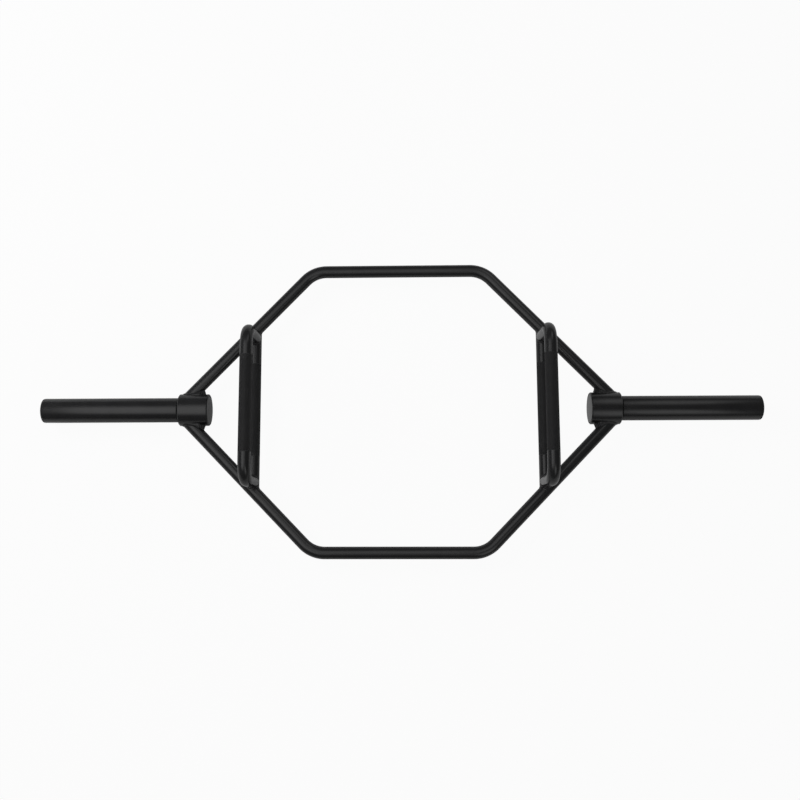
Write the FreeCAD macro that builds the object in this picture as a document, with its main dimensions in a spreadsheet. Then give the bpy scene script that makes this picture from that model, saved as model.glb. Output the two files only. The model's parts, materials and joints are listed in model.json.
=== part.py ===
import FreeCAD, Part

# Hex trap bar: a hexagon of two bent tubes between two hubs, with a turning sleeve on
# each hub and a straight and a raised handle on each side.
# Millimetres. X runs along the sleeves, Y from front to rear and Z up. The origin is on
# the floor under the middle of the bar, which lies on its two hubs.
import math
import os

import Sketcher

SIZES = (
    ("sleeve_diameter", 50.0, "outside of the turning sleeve, for 50 mm plates"),
    ("sleeve_wall", 5.0, "wall of the sleeve tube"),
    ("sleeve_length", 276.5, "sleeve tube from end to end"),
    ("sleeve_chamfer", 0.8, "broken edges of the sleeve tube"),
    ("hub_span", 776.0, "between the inner ends of the two hubs"),
    ("hub_length", 61.0, "hub from end to end"),
    ("hub_diameter", 65.0, "outside of the hub"),
    ("hub_chamfer", 1.5, "broken edges of the hub"),
    ("hub_lip", 2.3, "wall left round the end plate"),
    ("end_plate_thickness", 6.0, "plate that closes the hub's inner end"),
    ("end_plate_chamfer", 1.8, "groove between the plate and the hub's lip"),
    ("thrust_washer_thickness", 2.2, "washer in the seam between hub and sleeve"),
    ("thrust_washer_inset", 2.0, "how far the washer lies below the sleeve's outside"),
    ("spindle_chamfer", 1.0, "broken edge of the spindle's nose"),
    ("washer_clearance", 0.25, "radial room of the washers round spindle and bolt"),
    ("bush_wall", 5.0, "wall of the bearing bushes"),
    ("bush_length", 30.0, "length of each bearing bush"),
    ("running_clearance", 0.05, "radial room of the bushes on the spindle"),
    ("end_play", 0.3, "axial room of the sleeve at each end"),
    ("retaining_washer_thickness", 4.0, "washer that keeps the sleeve on"),
    ("retaining_washer_clearance", 1.5, "radial room of that washer in the sleeve"),
    ("bolt_diameter", 12.0, "shank of the retaining bolt"),
    ("bolt_length", 30.0, "retaining bolt under its head"),
    ("bolt_head_width", 18.0, "retaining bolt's head across its flats"),
    ("bolt_head_height", 7.5, "retaining bolt's head along the axis"),
    ("thread_clearance", 0.1, "radial room of the bolt in its tapped hole"),
    ("tapped_hole_spare", 3.0, "depth of the tapped hole past the bolt's end"),
    ("nose_room", 5.0, "between the bolt's head and the end cap's stem"),
    ("cap_flange", 3.0, "end cap in front of the sleeve"),
    ("cap_chamfer", 1.8, "sloped edge of the end cap"),
    ("cap_inset", 0.4, "how far the cap's rim lies below the sleeve's outside"),
    ("cap_stem", 12.0, "end cap inside the sleeve"),
    ("cap_wall", 3.0, "wall of the end cap's stem"),
    ("tube_diameter", 25.0, "outside of the frame tubes"),
    ("tube_wall", 3.0, "wall of the frame tubes"),
    ("bend_radius", 60.0, "middle line of the frame tubes' bends"),
    ("frame_depth", 579.0, "between the front and the rear run"),
    ("frame_flat", 349.0, "between the bends of one run, corner to corner"),
    ("apex_overhang", 7.0, "from the hub's outer end to where the slanted runs meet the sleeve axis"),
    ("handle_diameter", 25.0, "bar of all handles"),
    ("handle_spacing", 591.0, "between the left and the right handles"),
    ("handle_rise", 115.0, "raised grip above the straight handle"),
    ("handle_bend", 35.0, "middle line of the raised handles' bends"),
    ("leg_setback", 17.0, "from the frame tube's middle line to the raised handle's leg"),
    ("leg_foot", 4.0, "lowest point of the legs above the frame's middle plane"),
    ("hub_weld", 4.0, "weld bead between frame tube and hub"),
    ("handle_weld", 3.0, "weld bead round the handles' ends"),
)

# Places along the right sleeve's axis, from the middle of the bar outwards
HUB_INNER = "(Sizes.hub_span / 2)"
PLATE_BACK = f"({HUB_INNER} + Sizes.end_plate_thickness)"
HUB_OUTER = f"({HUB_INNER} + Sizes.hub_length)"
SLEEVE_INNER = f"({HUB_OUTER} + Sizes.thrust_washer_thickness + Sizes.end_play)"
SLEEVE_OUTER = f"({SLEEVE_INNER} + Sizes.sleeve_length)"
CAP_INNER = f"({SLEEVE_OUTER} - Sizes.cap_stem)"
CAP_OUTER = f"({SLEEVE_OUTER} + Sizes.cap_flange)"
BOLT_SEAT = f"({CAP_INNER} - Sizes.nose_room - Sizes.bolt_head_height)"
SPINDLE_NOSE = f"({BOLT_SEAT} - Sizes.retaining_washer_thickness)"
BOLT_END = f"({BOLT_SEAT} - Sizes.bolt_length)"
OUTER_BUSH = f"({SPINDLE_NOSE} - Sizes.end_play - Sizes.bush_length)"

# Radii about the sleeve's axis
HUB_RADIUS = "(Sizes.hub_diameter / 2)"
PLATE_RADIUS = f"({HUB_RADIUS} - Sizes.hub_lip)"
SLEEVE_RADIUS = "(Sizes.sleeve_diameter / 2)"
SLEEVE_BORE = f"({SLEEVE_RADIUS} - Sizes.sleeve_wall)"
BUSH_BORE = f"({SLEEVE_BORE} - Sizes.bush_wall)"
SPINDLE_RADIUS = f"({BUSH_BORE} - Sizes.running_clearance)"
CAP_RADIUS = f"({SLEEVE_RADIUS} - Sizes.cap_inset)"
BOLT_RADIUS = "(Sizes.bolt_diameter / 2)"

# The frame's middle plane lies at the height of the sleeve axis
AXIS_HEIGHT = HUB_RADIUS
TUBE_RADIUS = "(Sizes.tube_diameter / 2)"
TUBE_BORE = f"({TUBE_RADIUS} - Sizes.tube_wall)"
RUN_Y = "(Sizes.frame_depth / 2)"
CORNER_X = "(Sizes.frame_flat / 2)"
REACH_X = f"({HUB_OUTER} + Sizes.apex_overhang)"

# Handles: the slanted run crosses the handle's line at HANDLE_END
HANDLE_X = "(Sizes.handle_spacing / 2)"
HANDLE_RADIUS = "(Sizes.handle_diameter / 2)"
HANDLE_END = f"({RUN_Y} * ({REACH_X} - {HANDLE_X}) / ({REACH_X} - {CORNER_X}))"
LEG_Y = f"({HANDLE_END} - Sizes.leg_setback)"

ALONG_X = FreeCAD.Vector(1, 0, 0)
ALONG_Y = FreeCAD.Vector(0, 1, 0)
ALONG_Z = FreeCAD.Vector(0, 0, 1)
HALF_TURN = FreeCAD.Rotation(ALONG_Z, 180)
SIDE_TURNS = {"right": FreeCAD.Rotation(), "left": HALF_TURN}
OPPOSITE = {"front": "rear", "rear": "front"}

document = FreeCAD.newDocument("hex_trap_bar")
sheet = document.addObject("Spreadsheet::Sheet", "Sizes")


def fill_sheet():
    """Writes each driving dimension, its alias and its meaning into one row."""
    for row, (alias, size, meaning) in enumerate(SIZES, start=1):
        sheet.set(f"A{row}", meaning)
        sheet.set(f"B{row}", str(size))
        sheet.setAlias(f"B{row}", alias)
    document.recompute()


def value(expression):
    """The number that an expression over the sheet has now."""
    return float(sheet.evalExpression(expression))


def new_body(name, side="right"):
    """A body whose own origin lies on the sleeve axis, turned round for the left side."""
    body = document.addObject("PartDesign::Body", name)
    body.Placement = FreeCAD.Placement(FreeCAD.Vector(), SIDE_TURNS[side])
    body.setExpression("Placement.Base.z", AXIS_HEIGHT)
    return body


def origin_plane(body, role):
    """One of the body's own origin planes."""
    return next(plane for plane in body.Origin.OriginFeatures if plane.Role == role)


def new_sketch(body, name, role):
    """A sketch on one of the body's own origin planes."""
    sketch = body.newObject("Sketcher::SketchObject", f"{body.Name}_{name}")
    sketch.AttachmentSupport = [(origin_plane(body, role), "")]
    sketch.MapMode = "FlatFace"
    return sketch


def drive(sketch, expression, *constraint):
    """Adds a dimension to a sketch and ties it to the sheet."""
    index = sketch.addConstraint(Sketcher.Constraint(*constraint, value(expression)))
    sketch.setExpression(f"Constraints[{index}]", expression)


def place_point(sketch, curve, end, across, up):
    """Dimensions one end of a curve from the sketch's origin."""
    for kind, expression, axis in (("DistanceX", across, -2), ("DistanceY", up, -1)):
        if expression == "0":
            sketch.addConstraint(Sketcher.Constraint("PointOnObject", curve, end, axis))
        else:
            drive(sketch, expression, kind, -1, 1, curve, end)


def outline(sketch, corners):
    """A closed outline through corners, each a pair of expressions."""
    points = [FreeCAD.Vector(value(across), value(up), 0) for across, up in corners]
    count = len(points)
    for index, point in enumerate(points):
        sketch.addGeometry(Part.LineSegment(point, points[(index + 1) % count]))
    for index, (across, up) in enumerate(corners):
        sketch.addConstraint(Sketcher.Constraint("Coincident", (index - 1) % count, 2, index, 1))
        place_point(sketch, index, 1, across, up)


def circle(sketch, across, up, radius):
    """A circle whose middle and radius are expressions."""
    middle = FreeCAD.Vector(value(across), value(up), 0)
    index = sketch.addGeometry(Part.Circle(middle, ALONG_Z, value(radius)))
    place_point(sketch, index, 3, across, up)
    drive(sketch, radius, "Radius", index)


def turned(name, side, corners):
    """A piece turned about the sleeve axis; corners are pairs of place and radius."""
    body = new_body(name, side)
    sketch = new_sketch(body, "profile", "XY_Plane")
    outline(sketch, corners)
    turning = body.newObject("PartDesign::Revolution", f"{name}_turning")
    turning.Profile = sketch
    turning.ReferenceAxis = (sketch, ["H_Axis"])
    turning.Angle = 360
    return body


def ring(name, side, start, length, outside, bore):
    """A plain ring round the sleeve axis."""
    end = f"({start} + {length})"
    return turned(name, side, ((start, bore), (start, outside), (end, outside), (end, bore)))


def round_bar(name, radius, length, direction, start):
    """A plain round bar from start along direction."""
    bar = document.addObject("Part::Cylinder", name)
    bar.Placement = FreeCAD.Placement(FreeCAD.Vector(), FreeCAD.Rotation(ALONG_Z, direction))
    bar.setExpression("Radius", radius)
    bar.setExpression("Height", length)
    for axis, expression in zip("xyz", start):
        bar.setExpression(f"Placement.Base.{axis}", expression)
    return bar


def combine(kind, name, base, tool, side="right"):
    """A Cut, Fuse or Common of two objects, turned round for the left side."""
    result = document.addObject(f"Part::{kind}", name)
    result.Base = base
    result.Tool = tool
    result.Placement = FreeCAD.Placement(FreeCAD.Vector(), SIDE_TURNS[side])
    return result


def bent_path(sketch, level, corner, end_across, end_up, radius):
    """A level run from the sketch's upright axis, one bend and a straight run to its end.

    The two runs would meet at the corner, a place along the level run.
    """
    start = FreeCAD.Vector(0, value(level), 0)
    apex = FreeCAD.Vector(value(corner), value(level), 0)
    finish = FreeCAD.Vector(value(end_across), value(end_up), 0)
    leaving = (finish - apex).normalize()
    turn = math.atan2(-leaving.y, leaving.x)
    setback = value(radius) * math.tan(turn / 2)
    bend_start = FreeCAD.Vector(apex.x - setback, apex.y, 0)
    bend_end = apex + leaving * setback
    middle = FreeCAD.Vector(bend_start.x, bend_start.y - value(radius), 0)
    bend = Part.Circle(middle, ALONG_Z, value(radius))
    level_run = sketch.addGeometry(Part.LineSegment(start, bend_start))
    arc = sketch.addGeometry(Part.ArcOfCircle(bend, math.pi / 2 - turn, math.pi / 2))
    last_run = sketch.addGeometry(Part.LineSegment(bend_end, finish))
    meeting = sketch.addGeometry(Part.Point(apex), True)
    sketch.addConstraint(Sketcher.Constraint("Horizontal", level_run))
    sketch.addConstraint(Sketcher.Constraint("Tangent", level_run, 2, arc, 2))
    sketch.addConstraint(Sketcher.Constraint("Tangent", arc, 1, last_run, 1))
    sketch.addConstraint(Sketcher.Constraint("PointOnObject", meeting, 1, level_run))
    sketch.addConstraint(Sketcher.Constraint("PointOnObject", meeting, 1, last_run))
    place_point(sketch, level_run, 1, "0", level)
    place_point(sketch, last_run, 2, end_across, end_up)
    drive(sketch, corner, "DistanceX", -1, 1, meeting, 1)
    drive(sketch, radius, "Radius", arc)


def mirrored(body, features, role):
    """Repeats features of a body on the other side of one of its planes."""
    mirror = body.newObject("PartDesign::Mirrored", f"{body.Name}_mirror")
    mirror.Originals = features
    mirror.MirrorPlane = (origin_plane(body, role), [""])
    body.Tip = mirror


def frame_run(name, end, radius, bore=None, cope=None):
    """A bar or tube along one half of the hexagon, from hub axis to hub axis.

    The cope is the radius of the hub that the tube's ends are cut to fit.
    """
    body = new_body(name, "right" if end == "rear" else "left")
    path = new_sketch(body, "path", "XY_Plane")
    bent_path(path, RUN_Y, CORNER_X, REACH_X, "0", "Sizes.bend_radius")
    section = new_sketch(body, "section", "YZ_Plane")
    circle(section, RUN_Y, "0", radius)
    if bore:
        circle(section, RUN_Y, "0", bore)
    sweep = body.newObject("PartDesign::AdditivePipe", f"{name}_sweep")
    sweep.Profile = section
    sweep.Spine = path
    features = [sweep]
    if cope:
        seat = new_sketch(body, "seat", "YZ_Plane")
        circle(seat, "0", "0", cope)
        cut = body.newObject("PartDesign::Pocket", f"{name}_cope")
        cut.Profile = seat
        cut.Type = "ThroughAll"
        cut.SideType = "Symmetric"
        features.append(cut)
    mirrored(body, features, "YZ_Plane")
    return body


def raised_bar():
    """The raised handle's bar before its feet are fitted, at the right-hand side."""
    body = new_body("raised_bar")
    body.setExpression("Placement.Base.x", HANDLE_X)
    path = new_sketch(body, "path", "YZ_Plane")
    bent_path(path, "Sizes.handle_rise", LEG_Y, LEG_Y, "Sizes.leg_foot", "Sizes.handle_bend")
    section = new_sketch(body, "section", "XZ_Plane")
    circle(section, "0", "Sizes.handle_rise", HANDLE_RADIUS)
    sweep = body.newObject("PartDesign::AdditivePipe", "raised_bar_sweep")
    sweep.Profile = section
    sweep.Spine = path
    mirrored(body, [sweep], "XZ_Plane")
    return body


def hexagon_block():
    """All that lies inside the middle lines of the two frame tubes."""
    body = new_body("hexagon_block")
    sketch = new_sketch(body, "outline", "XY_Plane")
    corners = (
        (CORNER_X, RUN_Y),
        (f"-{CORNER_X}", RUN_Y),
        (f"-{REACH_X}", "0"),
        (f"-{CORNER_X}", f"-{RUN_Y}"),
        (CORNER_X, f"-{RUN_Y}"),
        (REACH_X, "0"),
    )
    outline(sketch, corners)
    pad = body.newObject("PartDesign::Pad", "hexagon_block_pad")
    pad.Profile = sketch
    pad.SideType = "Symmetric"
    pad.setExpression("Length", "4 * (Sizes.handle_diameter + Sizes.handle_weld)")
    return body


def handle_bar(name, radius):
    """A straight bar between the middle lines of the two slanted runs, on the right."""
    length = f"2 * {HANDLE_END}"
    return round_bar(name, radius, length, ALONG_Y, (HANDLE_X, f"-{HANDLE_END}", AXIS_HEIGHT))


def leg_collar(name, sign):
    """A ring-wide bar round the foot of one leg of the raised handle, on the right."""
    radius = f"{HANDLE_RADIUS} + Sizes.handle_weld"
    length = "Sizes.handle_rise - Sizes.handle_bend - Sizes.leg_foot"
    foot = f"{AXIS_HEIGHT} + Sizes.leg_foot"
    return round_bar(name, radius, length, ALONG_Z, (HANDLE_X, f"{sign} * {LEG_Y}", foot))


def make_hub(side):
    """Round hub with a bore for the spindle and a recess for its end plate."""
    corners = (
        (HUB_INNER, PLATE_RADIUS),
        (HUB_INNER, f"{HUB_RADIUS} - Sizes.hub_chamfer"),
        (f"{HUB_INNER} + Sizes.hub_chamfer", HUB_RADIUS),
        (f"{HUB_OUTER} - Sizes.hub_chamfer", HUB_RADIUS),
        (HUB_OUTER, f"{HUB_RADIUS} - Sizes.hub_chamfer"),
        (HUB_OUTER, SPINDLE_RADIUS),
        (PLATE_BACK, SPINDLE_RADIUS),
        (PLATE_BACK, PLATE_RADIUS),
    )
    return turned(f"{side}_hub", side, corners)


def make_end_plate(side):
    """Flat plate in the hub's inner end, with a sloped edge."""
    corners = (
        (HUB_INNER, "0"),
        (HUB_INNER, f"{PLATE_RADIUS} - Sizes.end_plate_chamfer"),
        (f"{HUB_INNER} + Sizes.end_plate_chamfer", PLATE_RADIUS),
        (PLATE_BACK, PLATE_RADIUS),
        (PLATE_BACK, "0"),
    )
    return turned(f"{side}_hub_end_plate", side, corners)


def make_spindle(side):
    """Solid spindle, fixed in the hub, with a tapped hole in its nose."""
    hole = f"({BOLT_RADIUS} + Sizes.thread_clearance)"
    hole_bottom = f"({BOLT_END} - Sizes.tapped_hole_spare)"
    corners = (
        (PLATE_BACK, "0"),
        (PLATE_BACK, SPINDLE_RADIUS),
        (f"{SPINDLE_NOSE} - Sizes.spindle_chamfer", SPINDLE_RADIUS),
        (SPINDLE_NOSE, f"{SPINDLE_RADIUS} - Sizes.spindle_chamfer"),
        (SPINDLE_NOSE, hole),
        (hole_bottom, hole),
        (hole_bottom, "0"),
    )
    return turned(f"{side}_spindle", side, corners)


def make_thrust_washer(side):
    """Washer in the seam between the hub and the sleeve."""
    outside = f"{SLEEVE_RADIUS} - Sizes.thrust_washer_inset"
    bore = f"{SPINDLE_RADIUS} + Sizes.washer_clearance"
    thickness = "Sizes.thrust_washer_thickness"
    return ring(f"{side}_thrust_washer", side, HUB_OUTER, thickness, outside, bore)


def make_bush(side, name, start):
    """Bearing bush pressed into the sleeve, running on the spindle."""
    return ring(f"{side}_{name}", side, start, "Sizes.bush_length", SLEEVE_BORE, BUSH_BORE)


def make_retaining_washer(side):
    """Washer on the spindle's nose that stops the outer bush."""
    outside = f"{SLEEVE_BORE} - Sizes.retaining_washer_clearance"
    bore = f"{BOLT_RADIUS} + Sizes.washer_clearance"
    thickness = "Sizes.retaining_washer_thickness"
    return ring(f"{side}_retaining_washer", side, SPINDLE_NOSE, thickness, outside, bore)


def make_bolt(side):
    """Hexagon bolt that holds the retaining washer on the spindle."""
    head = document.addObject("Part::Prism", f"{side}_bolt_head")
    head.Polygon = 6
    head.Placement = FreeCAD.Placement(FreeCAD.Vector(), FreeCAD.Rotation(ALONG_Z, ALONG_X))
    head.setExpression("Circumradius", "Sizes.bolt_head_width / sqrt(3)")
    head.setExpression("Height", "Sizes.bolt_head_height")
    head.setExpression("Placement.Base.x", BOLT_SEAT)
    head.setExpression("Placement.Base.z", AXIS_HEIGHT)
    start = (BOLT_END, "0", AXIS_HEIGHT)
    shank = round_bar(f"{side}_bolt_shank", BOLT_RADIUS, "Sizes.bolt_length", ALONG_X, start)
    return combine("Fuse", f"{side}_retaining_bolt", head, shank, side)


def make_sleeve(side):
    """Tube that the plates slide on."""
    corners = (
        (SLEEVE_INNER, SLEEVE_BORE),
        (SLEEVE_INNER, f"{SLEEVE_RADIUS} - Sizes.sleeve_chamfer"),
        (f"{SLEEVE_INNER} + Sizes.sleeve_chamfer", SLEEVE_RADIUS),
        (f"{SLEEVE_OUTER} - Sizes.sleeve_chamfer", SLEEVE_RADIUS),
        (SLEEVE_OUTER, f"{SLEEVE_RADIUS} - Sizes.sleeve_chamfer"),
        (SLEEVE_OUTER, SLEEVE_BORE),
    )
    return turned(f"{side}_sleeve", side, corners)


def make_end_cap(side):
    """Plug with a hollow stem in the sleeve's bore and a flange on its end."""
    stem_bore = f"{SLEEVE_BORE} - Sizes.cap_wall"
    corners = (
        (CAP_INNER, stem_bore),
        (CAP_INNER, SLEEVE_BORE),
        (SLEEVE_OUTER, SLEEVE_BORE),
        (SLEEVE_OUTER, CAP_RADIUS),
        (f"{CAP_OUTER} - Sizes.cap_chamfer", CAP_RADIUS),
        (CAP_OUTER, f"{CAP_RADIUS} - Sizes.cap_chamfer"),
        (CAP_OUTER, "0"),
        (SLEEVE_OUTER, "0"),
        (SLEEVE_OUTER, stem_bore),
    )
    return turned(f"{side}_sleeve_end_cap", side, corners)


def make_sleeve_end(side):
    """Everything on one sleeve axis, from the hub's end plate to the sleeve's cap."""
    return [
        make_hub(side),
        make_end_plate(side),
        make_spindle(side),
        make_thrust_washer(side),
        make_bush(side, "inner_bush", SLEEVE_INNER),
        make_bush(side, "outer_bush", OUTER_BUSH),
        make_retaining_washer(side),
        make_bolt(side),
        make_sleeve(side),
        make_end_cap(side),
    ]


def make_frame_tube(end):
    """Bent tube of the front or rear half, its ends cut to fit the hubs."""
    return frame_run(f"{end}_frame_tube", end, TUBE_RADIUS, TUBE_BORE, HUB_RADIUS)


def make_handles(runs):
    """The straight and the raised handle of both sides, fitted to the frame tubes."""
    inside = hexagon_block()
    bar = combine("Common", "straight_bar", handle_bar("full_bar", HANDLE_RADIUS), inside)
    raised = raised_bar()
    tubes = combine("Fuse", "both_runs", runs["front"], runs["rear"])
    below = combine("Fuse", "under_the_legs", tubes, bar)
    handles = []
    for side in SIDE_TURNS:
        handles.append(combine("Cut", f"{side}_lower_handle", bar, tubes, side))
        handles.append(combine("Cut", f"{side}_raised_handle", raised, below, side))
    return handles, bar, raised, inside


def make_hub_welds(end, run):
    """Bead round the frame tube's end on the hub, on the right, and its turned twin."""
    wide_run = frame_run(f"{end}_hub_weld_run", end, f"{TUBE_RADIUS} + Sizes.hub_weld")
    start = (HUB_INNER, "0", AXIS_HEIGHT)
    wide_radius = f"{HUB_RADIUS} + Sizes.hub_weld"
    wide = round_bar(f"{end}_hub_weld_bar", wide_radius, "Sizes.hub_length", ALONG_X, start)
    core = round_bar(f"{end}_hub_core", HUB_RADIUS, "Sizes.hub_length", ALONG_X, start)
    bead = combine("Common", f"{end}_hub_bead", wide_run, wide)
    taken = combine("Fuse", f"{end}_hub_joint", run, core)
    return [
        combine("Cut", f"right_{end}_hub_weld", bead, taken, "right"),
        combine("Cut", f"left_{OPPOSITE[end]}_hub_weld", bead, taken, "left"),
    ]


def make_handle_welds(end, run, bar, raised, inside):
    """Bead where the two handles and the frame tube meet, and its turned twin."""
    sign = 1 if end == "rear" else -1
    wide_run = frame_run(f"{end}_handle_weld_run", end, f"{TUBE_RADIUS} + Sizes.handle_weld")
    full = handle_bar(f"{end}_handle_weld_bar", f"{HANDLE_RADIUS} + Sizes.handle_weld")
    wide_bar = combine("Common", f"{end}_handle_weld_end", full, inside)
    collar = leg_collar(f"{end}_leg_collar", sign)
    ground = combine("Fuse", f"{end}_handle_weld_ground", wide_run, wide_bar)
    leg_bead = combine("Common", f"{end}_leg_bead", collar, ground)
    bar_bead = combine("Common", f"{end}_bar_bead", wide_bar, wide_run)
    bead = combine("Fuse", f"{end}_handle_bead", leg_bead, bar_bead)
    joint = combine("Fuse", f"{end}_bar_and_run", bar, run)
    taken = combine("Fuse", f"{end}_handle_joint", joint, raised)
    return [
        combine("Cut", f"right_{end}_handle_weld", bead, taken, "right"),
        combine("Cut", f"left_{OPPOSITE[end]}_handle_weld", bead, taken, "left"),
    ]


def make_parts():
    """All sub-parts of the bar."""
    parts = [make_frame_tube("front"), make_frame_tube("rear")]
    runs = {end: frame_run(f"{end}_run", end, TUBE_RADIUS) for end in OPPOSITE}
    for side in SIDE_TURNS:
        parts += make_sleeve_end(side)
    handles, bar, raised, inside = make_handles(runs)
    parts += handles
    for end, run in runs.items():
        parts += make_hub_welds(end, run)
        parts += make_handle_welds(end, run, bar, raised, inside)
    document.recompute()
    return parts


def check_document(parts):
    """Stops before anything is written if an object failed or a shape is not sound."""
    for item in document.Objects:
        if {"Invalid", "Error"} & set(item.State):
            raise RuntimeError(f"{item.Name} failed: {item.State}")
    for part in parts:
        shape = part.Shape
        if shape.isNull() or not shape.isValid() or len(shape.Solids) != 1:
            raise RuntimeError(f"{part.Label} is not one sound solid")


def write_parts(parts):
    """Writes each sub-part to a file named after it."""
    os.makedirs("parts", exist_ok=True)
    for part in parts:
        part.Shape.exportStep(f"parts/{part.Label}.step")
        print(f"{part.Label}: {part.Shape.Volume / 1000:.2f} cm3")


fill_sheet()
all_parts = make_parts()
check_document(all_parts)
write_parts(all_parts)
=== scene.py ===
import json
import math

import bpy
import numpy as np
from mathutils import Euler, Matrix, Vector


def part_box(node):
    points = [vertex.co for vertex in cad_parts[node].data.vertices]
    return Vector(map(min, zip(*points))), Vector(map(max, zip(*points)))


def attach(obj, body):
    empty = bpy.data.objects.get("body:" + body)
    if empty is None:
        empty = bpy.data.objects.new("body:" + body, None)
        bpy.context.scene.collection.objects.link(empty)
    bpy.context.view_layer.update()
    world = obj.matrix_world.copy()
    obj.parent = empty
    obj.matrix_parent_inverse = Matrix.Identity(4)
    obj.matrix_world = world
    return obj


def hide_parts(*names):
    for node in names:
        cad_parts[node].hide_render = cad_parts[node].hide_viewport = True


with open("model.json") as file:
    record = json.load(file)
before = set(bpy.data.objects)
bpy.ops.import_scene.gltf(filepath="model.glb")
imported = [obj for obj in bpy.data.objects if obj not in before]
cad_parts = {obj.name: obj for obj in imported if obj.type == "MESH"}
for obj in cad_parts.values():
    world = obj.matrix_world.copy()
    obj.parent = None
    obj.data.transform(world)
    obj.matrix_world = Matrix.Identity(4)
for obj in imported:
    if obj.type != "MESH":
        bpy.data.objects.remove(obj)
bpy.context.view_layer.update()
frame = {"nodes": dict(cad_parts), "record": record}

MM = 0.001
SIDES = {"left": -1, "right": 1}
ENDS = {"front": -1, "rear": 1}
FRAME_BODY = "frame"
X_AXIS = np.array((1.0, 0.0, 0.0))
Y_AXIS = np.array((0.0, 1.0, 0.0))
Z_AXIS = np.array((0.0, 0.0, 1.0))

# Sizes that the solids' boxes give
sleeve_low, sleeve_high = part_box("right_sleeve")
hub_low, hub_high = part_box("right_hub")
plate_low, plate_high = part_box("right_hub_end_plate")
cap_low, cap_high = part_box("right_sleeve_end_cap")
tube_low, tube_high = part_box("rear_frame_tube")
bar_low, bar_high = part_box("right_lower_handle")
raised_low, raised_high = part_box("right_raised_handle")
spindle_low, spindle_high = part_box("right_spindle")
AXIS_Z = (sleeve_low.z + sleeve_high.z) / 2
SLEEVE_RADIUS = (sleeve_high.z - sleeve_low.z) / 2
HUB_RADIUS = (hub_high.z - hub_low.z) / 2
PLATE_RADIUS = (plate_high.z - plate_low.z) / 2
CAP_RADIUS = (cap_high.z - cap_low.z) / 2
SPINDLE_RADIUS = (spindle_high.z - spindle_low.z) / 2
TUBE_RADIUS = (tube_high.z - tube_low.z) / 2
HANDLE_RADIUS = (bar_high.z - bar_low.z) / 2
RUN_Y = tube_high.y - TUBE_RADIUS
HANDLE_X = (bar_low.x + bar_high.x) / 2
GRIP_Z = raised_high.z - HANDLE_RADIUS
LEG_Y = raised_high.y - HANDLE_RADIUS
LEG_FOOT_Z = raised_low.z

# Sizes of the bends and edges, which a box doesn't show
CORNER_X = 174.5 * MM
APEX_OVERHANG = 7.0 * MM
BEND_RADIUS = 60.0 * MM
HANDLE_BEND = 35.0 * MM
SLEEVE_WALL = 5.0 * MM
SLEEVE_EDGE = 0.8 * MM
HUB_EDGE = 1.5 * MM
HUB_EDGE_ROUND = 0.3 * MM
PLATE_EDGE = 1.8 * MM
PLATE_EDGE_ROUND = 0.6 * MM
CAP_EDGE = 1.8 * MM
CAP_WALL = 3.0 * MM
REACH_X = hub_high.x + APEX_OVERHANG

# The knurl: rows of flat-topped diamonds, with their tops at the bar's own radius
KNURL_LENGTH = 189.8 * MM
KNURL_DEPTH = 0.26 * MM
KNURL_ROW = 1.3 * MM
KNURL_ROWS = int(round(KNURL_LENGTH / KNURL_ROW))
KNURL_FLAT_SHARE = 0.6

# A diamond's corners as shifts of row and step
KNURL_DIAMOND = ((-1, 0), (0, 1), (1, 0), (0, -1))

# How far a piece's end reaches under its neighbour
HIDDEN = 0.4 * MM

# Fineness of the meshes
ROUND_STEPS = 96
BEND_STEPS = 18
EDGE_STEPS = 5
SHARP_DEGREES = 35.0

# Sizes of the weld beads
HUB_WELD_LEG = 4.8 * MM
HUB_WELD_CROWN = 1.0 * MM
HANDLE_WELD_LEG = 2.8 * MM
HANDLE_WELD_CROWN = 0.6 * MM
LANDING_BLEND = 0.8 * MM

# Shares by which a bead changes where its corner is sharp or flat
HUB_WELD_SPREAD = 2.2
HANDLE_WELD_SPREAD = 0.75
WELD_NARROWING = 0.5
WELD_FLATTENING = 0.8
WELD_HOLLOW = 0.55
WELD_LEAN = 0.12

# Ripples of a bead, and slow waves of its leg: share, waves round the joint, start
WELD_RIPPLE = 2.4 * MM
WELD_RIPPLE_HEIGHT = 0.2 * MM
WELD_RIPPLE_WIDENING = 0.05
WELD_RIPPLE_BOW = 1.1
WELD_WAVES = ((0.06, 3, 0.7), (0.05, 7, 2.1), (0.03, 13, 0.0))
WELD_PROFILE_STEPS = 8
WELD_RIPPLE_STEPS = 6
WELD_LINE_EXTRA = 1.25
WELD_SHARP_DEGREES = 60.0

# Surface textures, in waves per metre
COAT_MOTTLE_WAVES = 26.0
COAT_GLOSS_WAVES = 90.0
COAT_PEEL_WAVES = 420.0
COAT_GRAIN_WAVES = 1400.0
KNURL_MOTTLE_WAVES = 40.0
KNURL_GLOSS_WAVES = 160.0
KNURL_GRAIN_WAVES = 1800.0
PLASTIC_MOTTLE_WAVES = 60.0
PLASTIC_GRAIN_WAVES = 2200.0
TURNING_WAVES = (2600.0, 12.0, 12.0)
STAIN_WAVES = 45.0
WEAR_WAVES = 180.0

# How strongly a texture's finer waves show
NOISE_ROUGHNESS = 0.55

# Depths of the bumps, and how strongly they show
COAT_PEEL_DEPTH = 0.4 * MM
COAT_GRAIN_DEPTH = 0.12 * MM
KNURL_GRAIN_DEPTH = 0.1 * MM
PLASTIC_GRAIN_DEPTH = 0.08 * MM
TURNING_DEPTH = 0.05 * MM
COAT_BUMP = 0.03
WELD_BUMP = 0.2
KNURL_BUMP = 0.15
PLASTIC_BUMP = 0.25
TURNING_BUMP = 0.2

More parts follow.
